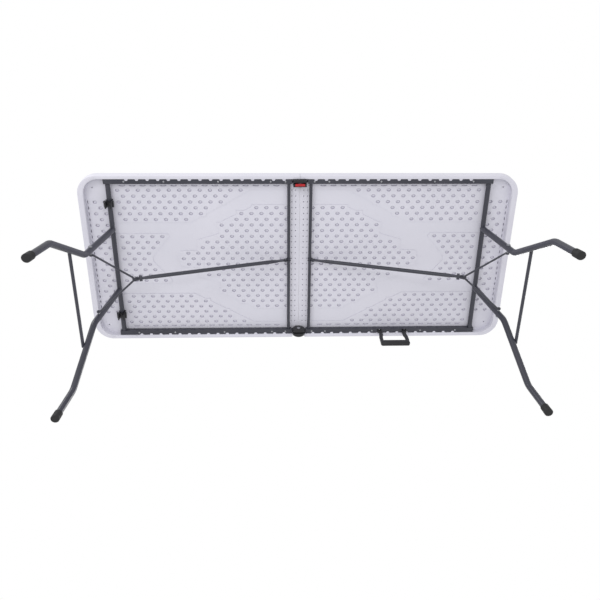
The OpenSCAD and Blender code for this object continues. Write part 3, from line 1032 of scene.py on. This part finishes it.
def buildHandle():
    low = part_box("carry_handle")[0]
    axis = middleOf("handle_pins")
    deep, high = handle["gripDeep"], handle["gripHigh"]
    grip = block("grip", (axis.x, axis.y, low.z + high / 2), (handle["gripLong"], deep, high))
    pickEdges(grip, lambda a, b: abs(a.y - b.y) > deep / 2 and level(a, b, low.z))
    bpy.ops.mesh.bevel(offset=handle["endRound"], segments=4, affect="EDGES")
    pickFaces(grip, lambda f: abs(f.normal.y) > 0.9)
    bpy.ops.mesh.bevel(offset=handle["gripRound"], segments=5, affect="EDGES")
    pickFaces(grip, lambda f: abs(f.normal.y) > 0.99)
    bpy.ops.mesh.inset(thickness=handle["panelEdge"])
    bpy.ops.mesh.inset(thickness=handle["panelStep"], depth=-handle["panelDeep"])
    bpy.ops.object.mode_set(mode="OBJECT")
    parts = [grip]
    for side in (-1, 1):
        allOff()
        bpy.ops.mesh.primitive_plane_add(size=1)
        arm = newPiece("arm")
        out, down, wide, thick = handle["arm"][0]
        place = axis + Vector((side * out, 0, -down))
        arm.data.transform(Matrix.Translation(place) @ Matrix.Diagonal((wide, thick, 1, 1)))
        pickAll(arm)
        for out, down, nextWide, nextThick in handle["arm"][1:]:
            step = axis + Vector((side * out, 0, -down)) - place
            place += step
            bpy.ops.mesh.extrude_region_move(TRANSFORM_OT_translate={"value": step})
            bpy.ops.transform.resize(value=(nextWide / wide, nextThick / thick, 1), center_override=place)
            wide, thick = nextWide, nextThick
        bpy.ops.object.mode_set(mode="OBJECT")
        mergeDoubles(arm)
        parts.append(bevelled(arm, handle["armRound"], 3, 20))
        hub = turned("hub", handle["hub"], 32)
        hub.data.transform(Matrix.Translation((axis.x + side * handle["hubOut"], axis.y, axis.z))
                           @ Matrix.Rotation(math.pi / 2, 4, "Y"))
        parts.append(hub)
    whole = joined(parts, "carryHandle")
    smooth(whole, 40)
    standFor(whole, "carry_handle")
    print("handle made")


# foot caps: ribbed boots, cut flat where they stand

foot = {
    "lean": 9.1,
    "splay": 4.87,
    "across": 0.315,
    "soleRound": 0.0012,
    "profile": ((0.0127, -0.0362), (0.0146, -0.0362), (0.0155, -0.0352), (0.0156, -0.0325),
                (0.0149, -0.0315), (0.0149, -0.0290), (0.0157, -0.0280), (0.0157, -0.0255),
                (0.0150, -0.0245), (0.0150, -0.0220), (0.0158, -0.0210), (0.0158, -0.0185),
                (0.0151, -0.0175), (0.0151, -0.0150), (0.0160, -0.0138), (0.0160, 0.0060)),
}


def buildFeet():
    lean, splay = math.radians(foot["lean"]), math.radians(foot["splay"])
    down = Vector((math.cos(splay) * math.sin(lean), math.sin(splay), -math.cos(splay) * math.cos(lean)))
    turn = down.to_track_quat("Z", "Y").to_matrix().to_4x4()
    pivot = middleOf("right_cross_tube")
    reach = pivot.z * math.tan(lean)
    cap = turned("cap", foot["profile"], 44)
    cap.data.transform(Matrix.Translation((pivot.x + reach, foot["across"], 0)) @ turn)
    pickAll(cap)
    bpy.ops.mesh.bisect(plane_co=(0, 0, 0), plane_no=(0, 0, 1), threshold=fine["cut"],
                        clear_inner=True, use_fill=True)
    bpy.ops.object.mode_set(mode="OBJECT")
    mergeDoubles(cap, fine["smallWeld"])
    pickEdges(cap, lambda a, b: a.z < fine["near"] and b.z < fine["near"])
    bpy.ops.mesh.bevel(offset=foot["soleRound"], segments=2, affect="EDGES")
    bpy.ops.object.mode_set(mode="OBJECT")
    for half, flipX in (("left", -1), ("right", 1)):
        for edge, flipY in (("near", -1), ("far", 1)):
            node = half + "_foot_" + edge
            piece = copyOf(cap, camel(node))
            piece.data.transform(Matrix.Diagonal((flipX, flipY, 1, 1)))
            mergeDoubles(piece, fine["smallWeld"])
            smooth(piece, 35)
            standFor(piece, node)
    bpy.data.objects.remove(cap)
    print("feet made")


# rail screws: pan heads with a cross recess, looking down

screw = {
    "along": (0.060, 0.121, 0.337, 0.560, 0.722),
    "head": ((0.0040, 0.0), (0.0041, -0.0006), (0.0036, -0.0014), (0.0026, -0.0019), (0.0012, -0.0021)),
    "shank": 0.0020,
    "recess": (0.0040, 0.0009, 0.0016),
    # the smaller pair in the handle's lugs
    "smallScale": (0.62, 0.62, 0.95),
    "smallEdge": 0.0024,
    "smallDrop": 0.003,
}


def oneScrew(shankLong):
    head = turned("head", ((screw["shank"], shankLong), (screw["shank"], 0.0)) + screw["head"], 28)
    for turn in (0, math.pi / 2):
        cutter = block("cutter", (0, 0, screw["head"][-1][1]), screw["recess"])
        cutter.data.transform(Matrix.Rotation(turn, 4, "Z"))
        cutWith(head, cutter)
    return head


def buildScrews():
    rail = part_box("right_rail_far")
    model = oneScrew(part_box("right_rail_screws")[1].z - rail[0].z)
    for half, flip in (("left", -1), ("right", 1)):
        laid = [copyOf(model, "screw", (flip * x, side * (rail[0].y + rail[1].y) / 2, rail[0].z))
                for x in screw["along"] for side in (-1, 1)]
        whole = joined(laid, half + "RailScrews")
        smooth(whole, 35)
        standFor(whole, half + "_rail_screws")
    centre, low, high = middleOf("handle_screws"), *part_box("handle_screws")
    reach = (high.x - low.x) / 2 - screw["smallEdge"]
    laid = []
    for side in (-1, 1):
        small = copyOf(model, "screw")
        place = (centre.x + side * reach, centre.y, high.z - screw["smallDrop"])
        small.data.transform(Matrix.Translation(place) @ Matrix.Diagonal((*screw["smallScale"], 1)))
        laid.append(small)
    whole = joined(laid, "handleScrews")
    smooth(whole, 35)
    standFor(whole, "handle_screws")
    bpy.data.objects.remove(model)
    print("screws made")


# brace bolts: hexagon head and washer outside the leg, spacer inside it

bolt = {
    "head": ((0.00675, 0.0), (0.0075, 0.0005), (0.0075, 0.0033), (0.00645, 0.0042)),
    "headOut": 0.0046,
    "washerRadius": 0.0085,
    "washerFrom": -0.0009,
    "washerTo": 0.0001,
    "spacerRadius": 0.0065,
    "spacerBore": 0.0041,
    "spacerShort": 0.0305,
    "shankRadius": 0.0040,
    "tip": 0.0006,
    "inner": 0.1286,
}


def buildBolts():
    shankRadius, bore, inner = bolt["shankRadius"], bolt["spacerBore"], bolt["inner"]
    for half in ("left", "right"):
        low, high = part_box(half + "_brace_bolts")
        x, z = (low.x + high.x) / 2, (low.z + high.z) / 2
        outer = high.y - bolt["headOut"]
        spacerEnd = outer - bolt["spacerShort"]
        laid = []
        for side in (-1, 1):
            head = turned("head", bolt["head"], 6)
            laid.append(alongY(head, x, side * outer, z, side))
            washer = turned("washer", ((shankRadius, bolt["washerFrom"]),
                                       (bolt["washerRadius"], bolt["washerFrom"]),
                                       (bolt["washerRadius"], bolt["washerTo"]),
                                       (shankRadius, bolt["washerTo"])), 36)
            laid.append(alongY(washer, x, side * outer, z, side))
            shank = turned("shank", ((shankRadius - bolt["tip"], inner), (shankRadius, inner + bolt["tip"]),
                                     (shankRadius, outer)), 28)
            laid.append(alongY(shank, x, 0, z, side))
            spacer = turned("spacer", ((bore, inner), (bolt["spacerRadius"], inner),
                                       (bolt["spacerRadius"], spacerEnd), (bore, spacerEnd)), 32)
            laid.append(alongY(spacer, x, 0, z, side))
        whole = joined(laid, half + "BraceBolts")
        smooth(whole, 35)
        standFor(whole, half + "_brace_bolts")
    print("bolts made")


# rivets with domed heads, across the joints of the braces

rivet = {
    "shank": 0.0030,
    # a dome's outline, as shares of a head's radius and thickness
    "dome": ((0.30, 1.00), (0.62, 0.86), (0.86, 0.58), (1.00, 0.18), (1.00, 0.0)),
    # node, head radius, head thickness
    "heads": (("_joint_rivet", 0.0044, 0.0018), ("_strut_pin", 0.0050, 0.0015)),
}


def buildRivets():
    for half in ("left", "right"):
        for kind, headRadius, headThick in rivet["heads"]:
            node = half + kind
            low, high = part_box(node)
            reach = (high.y - low.y) / 2 - headThick
            cap = [(headRadius * r, reach + headThick * h) for r, h in rivet["dome"]]
            shank = [(rivet["shank"], reach), (rivet["shank"], -reach)]
            profile = cap + shank + [(r, -h) for r, h in reversed(cap)]
            whole = turned(camel(node), profile, 28)
            alongY(whole, (low.x + high.x) / 2, 0, (low.z + high.z) / 2)
            smooth(whole, 40)
            standFor(whole, node)
    print("rivets made")


# red slider of the fold latch, with finger ribs

slider = {
    "thick": 0.0037,
    "edge": 0.0013,
    "sunk": 0.0010,
    "plateRound": 0.0006,
    "ribs": 5,
    "ribPitch": 0.0046,
    "ribSize": (0.0017, 0.0070, 0.0014),
    "ribLift": 0.0001,
    "smallRound": 0.0005,
    "stem": (0.014, 0.0044, 0.0042),
    "stemIn": 0.0078,
}


def buildSlider():
    low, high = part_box("latch_slider")
    thick, ribHigh = slider["thick"], slider["ribSize"][2]
    middle = (low + high) / 2
    plate = block("plate", (middle.x, middle.y, low.z + thick / 2),
                  (high.x - low.x, high.y - low.y, thick))
    pickFaces(plate, lambda f: f.normal.z < -0.9)
    bpy.ops.mesh.inset(thickness=slider["edge"])
    bpy.ops.mesh.extrude_region_move(TRANSFORM_OT_translate={"value": (0, 0, slider["sunk"])})
    bpy.ops.object.mode_set(mode="OBJECT")
    parts = [bevelled(plate, slider["plateRound"], 2)]
    for step in range(slider["ribs"]):
        x = middle.x + (step - (slider["ribs"] - 1) / 2) * slider["ribPitch"]
        rib = block("rib", (x, middle.y, low.z + ribHigh / 2 + slider["ribLift"]), slider["ribSize"])
        parts.append(bevelled(rib, slider["smallRound"], 2))
    stem = block("stem", (middle.x, low.y + slider["stemIn"], high.z - slider["stem"][2] / 2),
                 slider["stem"])
    parts.append(bevelled(stem, slider["smallRound"], 2))
    whole = joined(parts, "latchSlider")
    standFor(whole, "latch_slider")
    print("slider made")


paintCadNodes()
rightTop = buildRightTop()
finishPiece(rightTop, "right_half", "moulded_top", topPlastic, "right_top")
leftTop = mirroredX(rightTop, "leftTop")
finishPiece(leftTop, "left_half", "moulded_top", topPlastic, "left_top")
print("tops made")
buildSoftEdges()
buildClips()
buildHandle()
buildFeet()
buildScrews()
buildBolts()
buildRivets()
buildSlider()

addCamera()
addWorld()
addFloor()
for lamp in studio["lamps"]:
    addLamp(*lamp)
